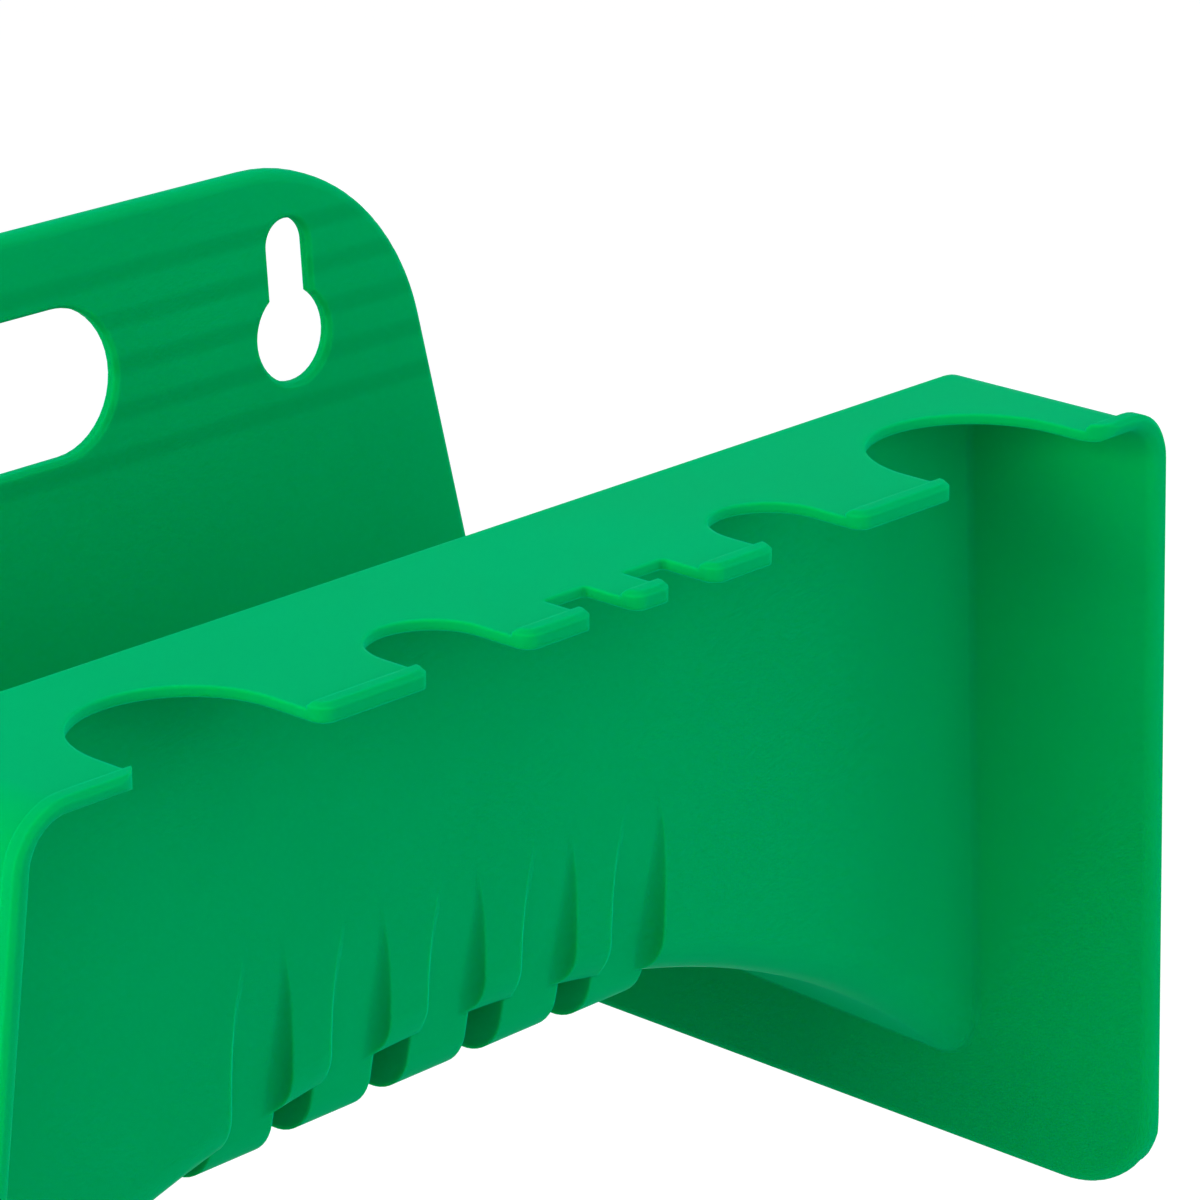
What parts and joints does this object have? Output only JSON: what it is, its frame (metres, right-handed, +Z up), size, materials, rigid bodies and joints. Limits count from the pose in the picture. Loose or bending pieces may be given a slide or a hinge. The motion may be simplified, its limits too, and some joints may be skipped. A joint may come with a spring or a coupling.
{
  "type": "hose hanger",
  "caption": "Green moulded wall hanger for a garden hose: arched saddle, keyholed wall plate with hand hole, and a front flange with a notched tool ledge.",
  "frame": {"origin": "on the wall plane, midway between the round holes of the two keyholes", "axes": "+X to the right of someone facing the wall, +Y into the wall, +Z up"},
  "size_m": [0.2702, 0.1632, 0.167],
  "materials": {
    "green_plastic": "satin moulded polypropylene"
  },
  "bodies": {
    "root": {"hose_hanger": "green_plastic"}
  },
  "joints": []
}
